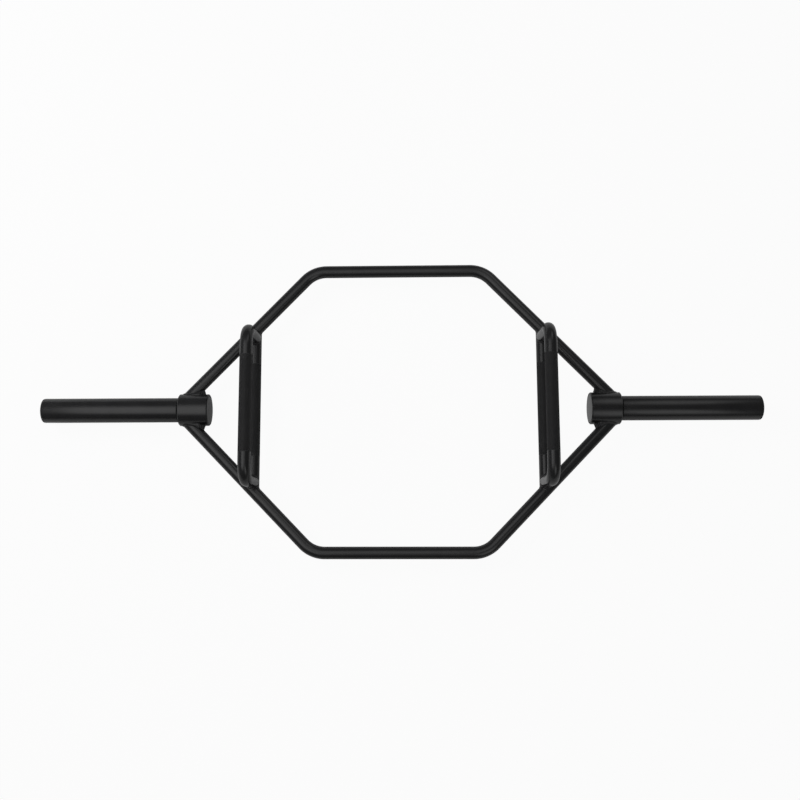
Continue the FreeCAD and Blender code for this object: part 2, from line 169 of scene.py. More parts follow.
# Colours: dark and light of the mottling, and rubbed edges; the knurl's crests are lighter than its
# grooves, partly rubbed and partly painted shade in the grooves
COAT_DARK = (0.0095, 0.0095, 0.0098)
COAT_LIGHT = (0.0128, 0.0128, 0.0132)
COAT_RUBBED = (0.030, 0.030, 0.031)
WELD_DARK = (0.0052, 0.0052, 0.0055)
WELD_LIGHT = (0.0085, 0.0085, 0.0090)
KNURL_DARK = (0.0080, 0.0080, 0.0083)
KNURL_LIGHT = (0.0120, 0.0120, 0.0124)
KNURL_CREST_WEAR_AND_PAINTED_SHADE = (0.020, 0.020, 0.0205)
PLASTIC_DARK = (0.009, 0.009, 0.009)
PLASTIC_LIGHT = (0.014, 0.014, 0.0145)
PLASTIC_RUBBED = (0.030, 0.030, 0.030)
STEEL_DARK = (0.42, 0.42, 0.43)
STEEL_LIGHT = (0.60, 0.60, 0.61)
PLATED_DARK = (0.55, 0.56, 0.58)
PLATED_LIGHT = (0.70, 0.71, 0.73)
BRONZE_DARK = (0.40, 0.26, 0.11)
BRONZE_LIGHT = (0.58, 0.40, 0.19)

# Roughness, from smooth to rough, and the knurl's duller gloss
COAT_ROUGHNESS = (0.20, 0.25)
WELD_ROUGHNESS = (0.26, 0.36)
KNURL_ROUGHNESS = (0.44, 0.54)
PLASTIC_ROUGHNESS = (0.48, 0.60)
STEEL_ROUGHNESS = (0.24, 0.42)
PLATED_ROUGHNESS = (0.20, 0.38)
BRONZE_ROUGHNESS = (0.30, 0.48)
KNURL_GLOSS = 0.4

# Ranges over which a texture or an edge's sharpness takes effect, and how strongly it does
SHADE_RANGE = (0.35, 0.65)
COAT_WEAR_RANGE = (0.54, 0.62)
PLASTIC_WEAR_RANGE = (0.54, 0.64)
WEAR_PATCH_RANGE = (0.45, 0.75)
# The knurl's crests turn lighter than its grooves: rubbed wear, and painted shade in the grooves
KNURL_WEAR_AND_SHADE_RANGE = (0.55, 1.0)
KNURL_WEAR_AND_SHADE_MOST = 0.8
STAIN_RANGE = (0.5, 0.75)
STAIN_MOST = 0.5
STAIN_DARKENING = 0.6


def set_input(node, name, setting):
    """Sets a shader socket directly."""
    node.inputs[name].default_value = setting


def new_material(name):
    """A fresh material with its nodes, links, shader and the piece's own coordinates."""
    material = bpy.data.materials.new(name)
    material.use_nodes = True
    nodes = material.node_tree.nodes
    shader = nodes["Principled BSDF"]
    place = nodes.new("ShaderNodeTexCoord")
    return material, nodes, material.node_tree.links, shader, place.outputs["Object"]


def calculate(nodes, links, operation, first, second=0.0):
    """Works out one number; second is a socket or a number."""
    node = nodes.new("ShaderNodeMath")
    node.operation = operation
    links.new(first, node.inputs[0])
    if isinstance(second, float):
        node.inputs[1].default_value = second
    else:
        links.new(second, node.inputs[1])
    return node.outputs["Value"]


def noise(nodes, links, place, waves, detail=4.0):
    """Fractal noise over the piece's own coordinates, in waves per metre."""
    node = nodes.new("ShaderNodeTexNoise")
    set_input(node, "Scale", waves)
    set_input(node, "Detail", detail)
    set_input(node, "Roughness", NOISE_ROUGHNESS)
    links.new(place, node.inputs["Vector"])
    return node.outputs["Fac"]


def remap(nodes, links, source, low, high, from_low=0.3, from_high=0.7):
    """Maps a range of a source, usually a texture's middle range, to a range of numbers."""
    node = nodes.new("ShaderNodeMapRange")
    set_input(node, "From Min", from_low)
    set_input(node, "From Max", from_high)
    set_input(node, "To Min", low)
    set_input(node, "To Max", high)
    links.new(source, node.inputs["Value"])
    return node.outputs["Result"]


def shade(nodes, links, source, dark, light):
    """Maps a texture to a colour between dark and light."""
    node = nodes.new("ShaderNodeValToRGB")
    for stop, place, colour in zip(node.color_ramp.elements, SHADE_RANGE, (dark, light)):
        stop.position = place
        stop.color = (*colour, 1)
    links.new(source, node.inputs["Fac"])
    return node.outputs["Color"]


def blend_colour(nodes, links, factor, first, fixed):
    """Mixes a colour with a fixed one."""
    node = nodes.new("ShaderNodeMix")
    node.data_type = "RGBA"
    links.new(factor, node.inputs["Factor"])
    links.new(first, node.inputs["A"])
    set_input(node, "B", (*fixed, 1))
    return node.outputs["Result"]


def bump(nodes, links, height, strength, distance, below=None):
    """A bump, stacked on another where one is given."""
    node = nodes.new("ShaderNodeBump")
    set_input(node, "Strength", strength)
    set_input(node, "Distance", distance)
    links.new(height, node.inputs["Height"])
    if below is not None:
        links.new(below, node.inputs["Normal"])
    return node.outputs["Normal"]


def edge_wear(nodes, links, place, wear_range):
    """Rises towards 1 on convex edges, broken up by noise."""
    sharpness = nodes.new("ShaderNodeNewGeometry").outputs["Pointiness"]
    lightening = remap(nodes, links, sharpness, 0.0, 1.0, *wear_range)
    patches = noise(nodes, links, place, WEAR_WAVES)
    patchy = remap(nodes, links, patches, 0.0, 1.0, *WEAR_PATCH_RANGE)
    return calculate(nodes, links, "MULTIPLY", lightening, patchy)


def black_coat(name, dark, light, roughness, strength):
    """Satin black powder coat: faint mottling, orange peel and rubbed edges."""
    material, nodes, links, shader, place = new_material(name)
    mottled = shade(nodes, links, noise(nodes, links, place, COAT_MOTTLE_WAVES), dark, light)
    worn = edge_wear(nodes, links, place, COAT_WEAR_RANGE)
    links.new(blend_colour(nodes, links, worn, mottled, COAT_RUBBED), shader.inputs["Base Color"])
    uneven = noise(nodes, links, place, COAT_GLOSS_WAVES, detail=3.0)
    links.new(remap(nodes, links, uneven, *roughness), shader.inputs["Roughness"])
    wavy = noise(nodes, links, place, COAT_PEEL_WAVES, detail=2.0)
    fine = noise(nodes, links, place, COAT_GRAIN_WAVES, detail=2.0)
    peeled = bump(nodes, links, wavy, strength, COAT_PEEL_DEPTH)
    links.new(bump(nodes, links, fine, strength, COAT_GRAIN_DEPTH, peeled), shader.inputs["Normal"])
    return material


def knurl_coat():
    """Matte coat in the knurl: crests rubbed a little lighter, with painted shade darkening the grooves.
    """
    material, nodes, links, shader, place = new_material("knurl_coat")
    crest = nodes.new("ShaderNodeAttribute")
    crest.attribute_name = "crest"
    mottled = shade(nodes, links, noise(nodes, links, place, KNURL_MOTTLE_WAVES), KNURL_DARK, KNURL_LIGHT)
    # Crests lighter than grooves: partly rubbed wear, partly painted shade in the grooves
    lightening = remap(nodes, links, crest.outputs["Fac"], 0.0, KNURL_WEAR_AND_SHADE_MOST, *KNURL_WEAR_AND_SHADE_RANGE)
    links.new(blend_colour(nodes, links, lightening, mottled, KNURL_CREST_WEAR_AND_PAINTED_SHADE), shader.inputs["Base Color"])
    uneven = noise(nodes, links, place, KNURL_GLOSS_WAVES, detail=3.0)
    links.new(remap(nodes, links, uneven, *KNURL_ROUGHNESS), shader.inputs["Roughness"])
    grain = noise(nodes, links, place, KNURL_GRAIN_WAVES, detail=2.0)
    links.new(bump(nodes, links, grain, KNURL_BUMP, KNURL_GRAIN_DEPTH), shader.inputs["Normal"])
    set_input(shader, "Specular IOR Level", KNURL_GLOSS)
    return material


def black_plastic():
    """Moulded black plastic with a fine grain."""
    material, nodes, links, shader, place = new_material("black_plastic")
    mottling = noise(nodes, links, place, PLASTIC_MOTTLE_WAVES)
    mottled = shade(nodes, links, mottling, PLASTIC_DARK, PLASTIC_LIGHT)
    worn = edge_wear(nodes, links, place, PLASTIC_WEAR_RANGE)
    links.new(blend_colour(nodes, links, worn, mottled, PLASTIC_RUBBED), shader.inputs["Base Color"])
    grain = noise(nodes, links, place, PLASTIC_GRAIN_WAVES, detail=2.0)
    links.new(remap(nodes, links, grain, *PLASTIC_ROUGHNESS), shader.inputs["Roughness"])
    links.new(bump(nodes, links, grain, PLASTIC_BUMP, PLASTIC_GRAIN_DEPTH), shader.inputs["Normal"])
    return material


def turned_metal(name, dark, light, roughness):
    """Bare metal with fine turning marks round the sleeve axis."""
    material, nodes, links, shader, place = new_material(name)
    stretch = nodes.new("ShaderNodeMapping")
    set_input(stretch, "Scale", TURNING_WAVES)
    links.new(place, stretch.inputs["Vector"])
    marks = noise(nodes, links, stretch.outputs["Vector"], waves=1.0, detail=3.0)
    tinted = shade(nodes, links, marks, dark, light)
    stains = noise(nodes, links, place, STAIN_WAVES)
    oily = remap(nodes, links, stains, 0.0, STAIN_MOST, *STAIN_RANGE)
    stained = tuple(STAIN_DARKENING * part for part in dark)
    links.new(blend_colour(nodes, links, oily, tinted, stained), shader.inputs["Base Color"])
    links.new(remap(nodes, links, marks, *roughness), shader.inputs["Roughness"])
    links.new(bump(nodes, links, marks, TURNING_BUMP, TURNING_DEPTH), shader.inputs["Normal"])
    set_input(shader, "Metallic", 1.0)
    return material


MATERIALS = {
    "black_coat": black_coat("black_coat", COAT_DARK, COAT_LIGHT, COAT_ROUGHNESS, COAT_BUMP),
    "weld_coat": black_coat("weld_coat", WELD_DARK, WELD_LIGHT, WELD_ROUGHNESS, WELD_BUMP),
    "knurled_coat": knurl_coat(),
    "black_plastic": black_plastic(),
    "bare_steel": turned_metal("bare_steel", STEEL_DARK, STEEL_LIGHT, STEEL_ROUGHNESS),
    "plated_steel": turned_metal("plated_steel", PLATED_DARK, PLATED_LIGHT, PLATED_ROUGHNESS),
    "bush_bronze": turned_metal("bush_bronze", BRONZE_DARK, BRONZE_LIGHT, BRONZE_ROUGHNESS),
}


def dress_frame():
    """Gives every solid of the frame the material of its slot."""
    slots = {part["node"]: part["material_slot"] for part in frame["record"]["subparts"]}
    for node, solid in frame["nodes"].items():
        solid.data.materials.clear()
        solid.data.materials.append(MATERIALS[slots[node]])


def add_piece(node, points, faces, materials, body, sharp_degrees=SHARP_DEGREES):
    """A smooth mesh that stands for one solid and rides on its body."""
    mesh = bpy.data.meshes.new(f"{node}_finish")
    mesh.from_pydata([tuple(point) for point in points], [], faces)
    mesh.validate()
    for slot in materials:
        mesh.materials.append(MATERIALS[slot])
    mesh.shade_smooth()
    mesh.set_sharp_from_angle(angle=math.radians(sharp_degrees))
    piece = bpy.data.objects.new(f"{node}_finish", mesh)
    bpy.context.scene.collection.objects.link(piece)
    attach(piece, body)
    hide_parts(node)
    return piece


def rounded(outline, edges):
    """An outline of (place, radius) points with some corners turned into arcs.

    The edges give the arc's radius by the corner's place in the outline.
    """
    points = []
    count = len(outline)
    for index, corner in enumerate(outline):
        corner = np.array(corner)
        edge = edges.get(index)
        if not edge:
            points.append(corner)
            continue
        before = np.array(outline[index - 1]) - corner
        after = np.array(outline[(index + 1) % count]) - corner
        before = before / np.linalg.norm(before)
        after = after / np.linalg.norm(after)
        half = math.acos(np.clip(before @ after, -1, 1)) / 2
        inward = (before + after) / np.linalg.norm(before + after)
        centre = corner + inward * edge / math.sin(half)
        start = corner + before * edge / math.tan(half) - centre
        finish = corner + after * edge / math.tan(half) - centre
        sweep = math.pi - 2 * half
        turn = math.copysign(sweep, start[0] * finish[1] - start[1] * finish[0])
        for step in range(EDGE_STEPS + 1):
            angle = turn * step / EDGE_STEPS
            cos, sin = math.cos(angle), math.sin(angle)
            points.append(centre + (cos * start[0] - sin * start[1], sin * start[0] + cos * start[1]))
    return points


def lathe(outline, sign):
    """Points and faces of a closed outline turned about the sleeve axis.

    The outline runs in (distance from the bar's middle, radius); sign picks the side.
    """
    points = []
    rings = []
    for place, radius in outline:
        if radius == 0.0:
            rings.append([len(points)] * ROUND_STEPS)
            points.append((sign * place, 0.0, AXIS_Z))
            continue
        rings.append(list(range(len(points), len(points) + ROUND_STEPS)))
        for step in range(ROUND_STEPS):
            angle = 2 * math.pi * step / ROUND_STEPS
            points.append((sign * place, radius * math.cos(angle), AXIS_Z + radius * math.sin(angle)))
    faces = []
    for first, second in zip(rings, rings[1:] + rings[:1]):
        for step in range(ROUND_STEPS):
            after = (step + 1) % ROUND_STEPS
            corners = [first[step], first[after], second[after], second[step]]
            corners = list(dict.fromkeys(corners))
            if len(corners) > 2:
                faces.append(corners[::sign])
    return points, faces


def add_turned(side, name, outline, edges, slot, body):
    """A turned piece of one side."""
    points, faces = lathe(rounded(outline, edges), SIDES[side])
    return add_piece(f"{side}_{name}", points, faces, [slot], body)


def make_hub(side):
    """Hub with sloped and rounded rims and the recess of its end plate."""
    floor = plate_high.x
    outline = [
        (hub_low.x, PLATE_RADIUS),
        (hub_low.x, HUB_RADIUS - HUB_EDGE),
        (hub_low.x + HUB_EDGE, HUB_RADIUS),
        (hub_high.x - HUB_EDGE, HUB_RADIUS),
        (hub_high.x, HUB_RADIUS - HUB_EDGE),
        (hub_high.x, SPINDLE_RADIUS),
        (floor, SPINDLE_RADIUS),
        (floor, PLATE_RADIUS),
    ]
    outer_corners = range(5)
    edges = dict.fromkeys(outer_corners, HUB_EDGE_ROUND)
    add_turned(side, "hub", outline, edges, "black_coat", FRAME_BODY)


def make_end_plate(side):
    """Flat disc in the hub's inner end, with a groove round it."""
    outline = [
        (plate_low.x, 0.0),
        (plate_low.x, PLATE_RADIUS - PLATE_EDGE),
        (plate_low.x + PLATE_EDGE, PLATE_RADIUS),
        (plate_high.x, PLATE_RADIUS),
        (plate_high.x, 0.0),
    ]
    edges = {1: PLATE_EDGE_ROUND}
    add_turned(side, "hub_end_plate", outline, edges, "black_coat", FRAME_BODY)


def make_sleeve(side):
    """Sleeve tube with rounded rims."""
    bore = SLEEVE_RADIUS - SLEEVE_WALL
    outline = [
        (sleeve_low.x, bore),
        (sleeve_low.x, SLEEVE_RADIUS),
        (sleeve_high.x, SLEEVE_RADIUS),
        (sleeve_high.x, bore),
    ]
    edges = {1: SLEEVE_EDGE, 2: SLEEVE_EDGE}
    add_turned(side, "sleeve", outline, edges, "black_coat", f"{side}_sleeve_group")


def make_end_cap(side):
    """Plastic plug in the sleeve's end, with a rounded flange."""
    bore = SLEEVE_RADIUS - SLEEVE_WALL
    outline = [
        (cap_low.x, bore - CAP_WALL),
        (cap_low.x, bore),
        (sleeve_high.x, bore),
        (sleeve_high.x, CAP_RADIUS),
        (cap_high.x, CAP_RADIUS),
        (cap_high.x, 0.0),
        (sleeve_high.x, 0.0),
        (sleeve_high.x, bore - CAP_WALL),
    ]
    edges = {4: CAP_EDGE}
    add_turned(side, "sleeve_end_cap", outline, edges, "black_plastic", f"{side}_sleeve_group")


def unit(rows):
    """Each row divided by its length."""
    return rows / np.linalg.norm(rows, axis=-1, keepdims=True)


def dot_rows(first, second):
    """The dot product of each pair of rows."""
    return np.einsum("ij,ij->i", first, second)


def first_hit(starts, direction, axis_point, axis, radius):
    """How far along direction each start first meets a cylinder."""
    offset = starts - axis_point
    offset = offset - np.outer(offset @ axis, axis)
    across = direction - (direction @ axis) * axis
    steepness = across @ across
    approach = offset @ across
    outside = dot_rows(offset, offset) - radius * radius
    depth = np.sqrt(np.maximum(approach * approach - steepness * outside, 0.0))
    return (-approach - depth) / steepness


def ring(centre, side_way, up_way, radius, count=ROUND_STEPS):
    """A circle of points."""
    angles = 2 * np.pi * np.arange(count) / count
    return centre + radius * (np.outer(np.cos(angles), side_way) + np.outer(np.sin(angles), up_way))


def arc(centre, start_way, end_way, radius):
    """Points and headings of a bend from start_way to end_way, both seen from its centre."""
    turn = math.acos(np.clip(start_way @ end_way, -1, 1))
    sideways = unit(end_way - (end_way @ start_way) * start_way)
    for step in range(BEND_STEPS + 1):
        angle = turn * step / BEND_STEPS
        out = math.cos(angle) * start_way + math.sin(angle) * sideways
        heading = -math.sin(angle) * start_way + math.cos(angle) * sideways
        yield centre + radius * out, heading


def band(low, high, count):
    """Quads between two closed rows of count points, whose first points are given."""
    faces = []
    for step in range(count):
        after = (step + 1) % count
        faces.append((low + step, low + after, high + after, high + step))
    return faces


def end_fan(ring_start, centre):
    """Triangles that close a ring towards a centre point."""
    faces = []
    for step in range(ROUND_STEPS):
        after = (step + 1) % ROUND_STEPS
        faces.append((ring_start + step, centre, ring_start + after))
    return faces


def closed_tube(rings):
    """Points and faces of a tube through rings, closed at both ends."""
    points = np.concatenate(list(rings) + [[rings[0].mean(axis=0), rings[-1].mean(axis=0)]])
    first_centre = len(rings) * ROUND_STEPS
    last_ring = first_centre - ROUND_STEPS
    faces = []
    for low in range(0, last_ring, ROUND_STEPS):
        faces += band(low, low + ROUND_STEPS, ROUND_STEPS)
    faces += end_fan(0, first_centre)
    faces += [face[::-1] for face in end_fan(last_ring, first_centre + 1)]
    return points, faces


# The slanted run of the right rear, from the bend towards the hub
APEX = np.array((REACH_X, 0.0, AXIS_Z))
CORNER = np.array((CORNER_X, RUN_Y, AXIS_Z))
SLANT = unit(APEX - CORNER)


def mirrored(points, side, end):
    """Points or directions of the right rear moved to another quarter."""
    return np.asarray(points) * (SIDES[side], ENDS[end], 1.0)


def half_tube():
    """Rings of the rear tube from the middle of its run to the right hub."""
    turn = math.acos(SLANT @ X_AXIS)
    setback = BEND_RADIUS * math.tan(turn / 2)
    bend_start = CORNER - X_AXIS * setback
    centre = bend_start - Y_AXIS * BEND_RADIUS
    stations = [(np.array((0.0, RUN_Y, AXIS_Z)), X_AXIS)]
    out_end = unit(CORNER + SLANT * setback - centre)
    stations += list(arc(centre, Y_AXIS, out_end, BEND_RADIUS))
    rings = []
    for point, heading in stations:
        rings.append(ring(point, np.cross(heading, Z_AXIS), Z_AXIS, TUBE_RADIUS))
    last = rings[-1]
    hub_point = np.array((0.0, 0.0, AXIS_Z))
    reach = first_hit(last, SLANT, hub_point, X_AXIS, HUB_RADIUS) + HIDDEN
    rings.append(last + np.outer(reach, SLANT))
    return rings


def make_frame_tube(end):
    """Bent tube of one half, its ends fitted to the hubs."""
    right = [mirrored(points, "right", end) for points in half_tube()]
    left = [mirrored(points, "left", end) for points in half_tube()]
    points, faces = closed_tube(left[:0:-1] + right)
    if end == "rear":
        faces = [face[::-1] for face in faces]
    add_piece(f"{end}_frame_tube", points, faces, ["black_coat"], FRAME_BODY)


def knurl_place(start, row, step):
    """Where a point of the knurl's lattice lies: rows along the grip, steps round it."""
    angle = 2 * np.pi * step / ROUND_STEPS
    return start + Y_AXIS * KNURL_ROW * row, np.cos(angle) * -X_AXIS + np.sin(angle) * Z_AXIS


def add_knurl(points, faces, crests, start, first_ring, last_ring):
    """Adds flat-topped diamonds between two rings of a grip, whose first points are given.

    Lattice points with an odd sum of row and step are where two grooves cross. Those with
    an even sum are the middles of the diamonds.
    """
    grooves = {}
    for step in range(ROUND_STEPS):
        grooves[0, step] = first_ring + step
        grooves[KNURL_ROWS, step] = last_ring + step
    for row in range(1, KNURL_ROWS):
        for step in range((row + 1) % 2, ROUND_STEPS, 2):
            middle, out = knurl_place(start, row, step)
            grooves[row, step] = len(points)
            points.append(middle + out * (HANDLE_RADIUS - KNURL_DEPTH))
            crests.append(0.0)
    corners = len(KNURL_DIAMOND)
    for row in range(1, KNURL_ROWS):
        for step in range(row % 2, ROUND_STEPS, 2):
            rim = []
            top = []
            for row_shift, step_shift in KNURL_DIAMOND:
                rim.append(grooves[row + row_shift, (step + step_shift) % ROUND_STEPS])
                flat_row = row + KNURL_FLAT_SHARE * row_shift
                flat_step = step + KNURL_FLAT_SHARE * step_shift
                middle, out = knurl_place(start, flat_row, flat_step)
                top.append(len(points))
                points.append(middle + out * HANDLE_RADIUS)
                crests.append(1.0)
            faces.append(top)
            for corner in range(corners):
                follow = (corner + 1) % corners
                faces.append((rim[corner], rim[follow], top[follow], top[corner]))
    for row, inner, turn in ((0, 1, 1), (KNURL_ROWS, KNURL_ROWS - 1, -1)):
        for step in range(row % 2, ROUND_STEPS, 2):
            for low, high in ((step - 1, step), (step, step + 1)):
                first = grooves[row, low % ROUND_STEPS]
                second = grooves[row, high % ROUND_STEPS]
                edge = (first, second, grooves[inner, step])
                faces.append(edge[::turn])


def add_handle(node, before, after, knurl_start):
    """A bar of smooth rings before and after a knurled stretch."""
    points, faces = closed_tube(before + after)
    joint = (len(before) - 1) * ROUND_STEPS
    past = joint + 2 * ROUND_STEPS
    faces = [face for face in faces if min(face) < joint or max(face) >= past]
    smooth_count = len(faces)
    points = list(points)
    crests = [1.0] * len(points)
    add_knurl(points, faces, crests, knurl_start, joint, joint + ROUND_STEPS)
    piece = add_piece(node, points, faces, ["black_coat", "knurled_coat"], FRAME_BODY)
    mesh = piece.data
    knurled = np.arange(len(faces)) >= smooth_count
    mesh.polygons.foreach_set("material_index", knurled.astype(np.int32))
    mesh.polygons.foreach_set("use_smooth", ~knurled)
    values = mesh.attributes.new("crest", "FLOAT", "POINT")
    values.data.foreach_set("value", np.array(crests, dtype=np.float32))


def lower_half(side, end):
    """Rings of one half of a straight handle, from the knurl's end to the tube."""
    outward = ENDS[end] * Y_AXIS
    middle = np.array((SIDES[side] * HANDLE_X, ENDS[end] * KNURL_LENGTH / 2, AXIS_Z))
    edge = ring(middle, -X_AXIS, Z_AXIS, HANDLE_RADIUS)
    tube_point = mirrored(CORNER, side, end)
    tube_way = mirrored(SLANT, side, end)
    reach = first_hit(edge, outward, tube_point, tube_way, TUBE_RADIUS) + HIDDEN
    return [edge, edge + np.outer(reach, outward)]


def make_lower_handle(side):
    """Straight handle between the slanted runs, its ends fitted to the tubes."""
    before = lower_half(side, "front")[::-1]
    after = lower_half(side, "rear")
    start = np.array((SIDES[side] * HANDLE_X, -KNURL_LENGTH / 2, AXIS_Z))
    add_handle(f"{side}_lower_handle", before, after, start)


def landing(side, points):
    """Height and outward direction of the handle or tube under points round a leg."""
    across = points[:, 0] - SIDES[side] * HANDLE_X
    on_bar = np.sqrt(np.maximum(HANDLE_RADIUS ** 2 - across ** 2, 0.0))
    bar_out = np.column_stack([across, np.zeros_like(across), on_bar])
    end = np.where(points[:, 1] > 0, 1.0, -1.0)
    tube_point = np.column_stack([np.full_like(end, SIDES[side] * CORNER[0]), end * CORNER[1]])
    tube_way = np.column_stack([np.full_like(end, SIDES[side] * SLANT[0]), end * SLANT[1]])
    offset = points[:, :2] - tube_point
    offset = offset - tube_way * dot_rows(offset, tube_way)[:, None]
    on_tube = np.sqrt(np.maximum(TUBE_RADIUS ** 2 - dot_rows(offset, offset), 0.0))
    tube_out = np.column_stack([offset, on_tube])
    share = 1 / (1 + np.exp((on_bar - on_tube) / LANDING_BLEND))
    height = np.maximum(on_bar, on_tube) + AXIS_Z
    return height, unit(bar_out * (1 - share)[:, None] + tube_out * share[:, None])


def raised_half(side, end):
    """Rings of one half of a raised handle, from the knurl's end down to the foot."""
    handle_x = SIDES[side] * HANDLE_X
    sign = ENDS[end]
    outward = sign * Y_AXIS
    edge = np.array((handle_x, sign * KNURL_LENGTH / 2, GRIP_Z))
    centre = np.array((handle_x, sign * (LEG_Y - HANDLE_BEND), GRIP_Z - HANDLE_BEND))
    stations = [(edge, outward)] + list(arc(centre, Z_AXIS, outward, HANDLE_BEND))
    rings = []
    for point, heading in stations:
        up_way = np.cross(X_AXIS, heading) * sign
        rings.append(ring(point, -X_AXIS, up_way, HANDLE_RADIUS))
    foot = rings[-1].copy()
    height, _ = landing(side, foot)
    foot[:, 2] = np.maximum(height, LEG_FOOT_Z) - HIDDEN
    rings.append(foot)
    return rings


def make_raised_handle(side):
    """U-shaped handle above the straight one, its feet fitted to bar and tube."""
    before = raised_half(side, "front")[::-1]
    after = raised_half(side, "rear")
    start = np.array((SIDES[side] * HANDLE_X, -KNURL_LENGTH / 2, GRIP_Z))
    add_handle(f"{side}_raised_handle", before, after, start)


def bead(corners, first_out, second_out, first_way, second_way, leg, crown, spread):
    """Points and faces of a rippled weld bead along a closed line of corners.

    first_out and second_out are the outward directions of the two welded surfaces;
    first_way and second_way lead away from the joint where those two run alike.
    """
    alike = dot_rows(second_out, first_out)[:, None]
    along_first = unit(second_out - first_out * alike + WELD_LEAN * first_way)
    along_second = unit(first_out - second_out * alike + WELD_LEAN * second_way)
    outward = unit(first_out + second_out)
    step_lengths = np.linalg.norm(np.roll(corners, -1, axis=0) - corners, axis=1)
    travelled = np.concatenate([[0.0], np.cumsum(step_lengths)[:-1]])
    total = step_lengths.sum()
    turned = 2 * np.pi * travelled / total
    phase = int(round(total / WELD_RIPPLE)) * turned
    uneven = 1 + sum(share * np.sin(waves * turned + start) for share, waves, start in WELD_WAVES)
    opening = dot_rows(along_first, along_second)
    sharpness = np.maximum(opening, 0.0)
    flatness = np.maximum(-opening, 0.0)
    reach = leg * uneven * (1 + spread * sharpness - WELD_NARROWING * flatness)
    lowered = 1 - WELD_FLATTENING * flatness
    crown = crown * lowered - WELD_HOLLOW * leg * sharpness
    rows = []
    for step in range(WELD_PROFILE_STEPS + 1):
        share = step / WELD_PROFILE_STEPS
        hump = 4 * share * (1 - share)
        ripple = (1 + np.sin(phase - WELD_RIPPLE_BOW * hump)) / 2
        height = (crown + WELD_RIPPLE_HEIGHT * ripple * lowered) * hump
        reach_now = reach * (1 + WELD_RIPPLE_WIDENING * ripple)
        base = (along_first * (1 - share) + along_second * share) * reach_now[:, None]
        rows.append(corners + base + outward * height[:, None])
    sunk = HIDDEN * outward
    rows[0] = rows[0] - sunk
    rows[-1] = rows[-1] - sunk
    rows.append(corners - 2 * sunk)
    count = len(corners)
    faces = []
    for row in range(len(rows)):
        next_row = (row + 1) % len(rows)
        faces += band(row * count, next_row * count, count)
    return np.concatenate(rows), faces


def merge(first, second):
    """Two sets of points and faces as one."""
    shift = len(first[0])
    faces = first[1] + [tuple(corner + shift for corner in face) for face in second[1]]
    return np.concatenate([first[0], second[0]]), faces


def weld_samples(radius):
    """How many samples a bead round a bar of this radius needs."""
    return int(2 * math.pi * radius / WELD_RIPPLE * WELD_RIPPLE_STEPS * WELD_LINE_EXTRA)


def make_hub_weld(side, end):
    """Bead round the frame tube's end on the hub."""
    across = np.cross(SLANT, Z_AXIS)
    tube = ring(CORNER, across, Z_AXIS, TUBE_RADIUS, weld_samples(TUBE_RADIUS))
    tube_out = unit(tube - CORNER)
    reach = first_hit(tube, SLANT, APEX, X_AXIS, HUB_RADIUS)
    corners = tube + np.outer(reach, SLANT)
    hub_out = unit((corners - APEX) * (0.0, 1.0, 1.0))
    corners, tube_out, hub_out = [mirrored(rows, side, end) for rows in (corners, tube_out, hub_out)]
    along = -mirrored(SLANT, side, end)
    sizes = (HUB_WELD_LEG, HUB_WELD_CROWN, HUB_WELD_SPREAD)
    points, faces = bead(corners, tube_out, hub_out, along, -along, *sizes)
    if SIDES[side] * ENDS[end] > 0:
        faces = [face[::-1] for face in faces]
    add_piece(f"{side}_{end}_hub_weld", points, faces, ["weld_coat"], FRAME_BODY, WELD_SHARP_DEGREES)


def make_handle_weld(side, end):
    """Beads where both handles and the frame tube meet."""
    sign = ENDS[end]
    handle_x = SIDES[side] * HANDLE_X
    count = weld_samples(HANDLE_RADIUS)
    sizes = (HANDLE_WELD_LEG, HANDLE_WELD_CROWN, HANDLE_WELD_SPREAD)
    middle = np.array((handle_x, 0.0, AXIS_Z))
    bar = ring(middle, SIDES[side] * X_AXIS, Z_AXIS, HANDLE_RADIUS, count)
    bar_out = unit(bar - middle)
    outward = sign * Y_AXIS
    tube_point = mirrored(CORNER, side, end)
    tube_way = mirrored(SLANT, side, end)
    corners = bar + np.outer(first_hit(bar, outward, tube_point, tube_way, TUBE_RADIUS), outward)
    offset = corners - tube_point
    tube_out = unit(offset - np.outer(offset @ tube_way, tube_way))
    bar_bead = bead(corners, bar_out, tube_out, -outward, outward, *sizes)
    leg_middle = np.array((handle_x, sign * LEG_Y, 0.0))
    leg = ring(leg_middle, SIDES[side] * X_AXIS, outward, HANDLE_RADIUS, count)
    leg_out = unit(leg - leg_middle)
    height, below_out = landing(side, leg)
    leg[:, 2] = np.maximum(height, LEG_FOOT_Z)
    leg_bead = bead(leg, leg_out, below_out, Z_AXIS, -Z_AXIS, *sizes)
    points, faces = merge(bar_bead, leg_bead)
    if SIDES[side] * sign > 0:
        faces = [face[::-1] for face in faces]
    add_piece(f"{side}_{end}_handle_weld", points, faces, ["weld_coat"], FRAME_BODY, WELD_SHARP_DEGREES)


def make_pieces():
    """All visible pieces of the bar."""
    for end in ENDS:
        make_frame_tube(end)
    for side in SIDES:
        make_hub(side)
        make_end_plate(side)
        make_sleeve(side)
        make_end_cap(side)
        make_lower_handle(side)
        make_raised_handle(side)
        for end in ENDS:
            make_hub_weld(side, end)
            make_handle_weld(side, end)


# The studio
FLOOR_HALF = 14.0
FLOOR_DROP = 0.2 * MM
FLOOR_GLOW = 0.955
FLOOR_COLOUR = (0.45, 0.45, 0.45, 1)
BACKDROP_COLOUR = (0.97, 0.97, 0.97, 1)
ROOM_COLOUR = (0.11, 0.11, 0.1133, 1)
LAMP_HEIGHT = 1.8
STRIP_HEIGHT = 1.82
FILL_HEIGHT = 1.5
RIGHT_AIM = (0.5, 0.0, 0.03)

# Shares of the bright floor and backdrop in reflections; the floor's share rises to the right, which is
# painted light on the floor
FLOOR_MIRRORED_LEFT = 0.11
FLOOR_MIRRORED_RIGHT = 0.29
FLOOR_MIRRORED_HALF = 0.5
BACKDROP_MIRRORED = 0.02

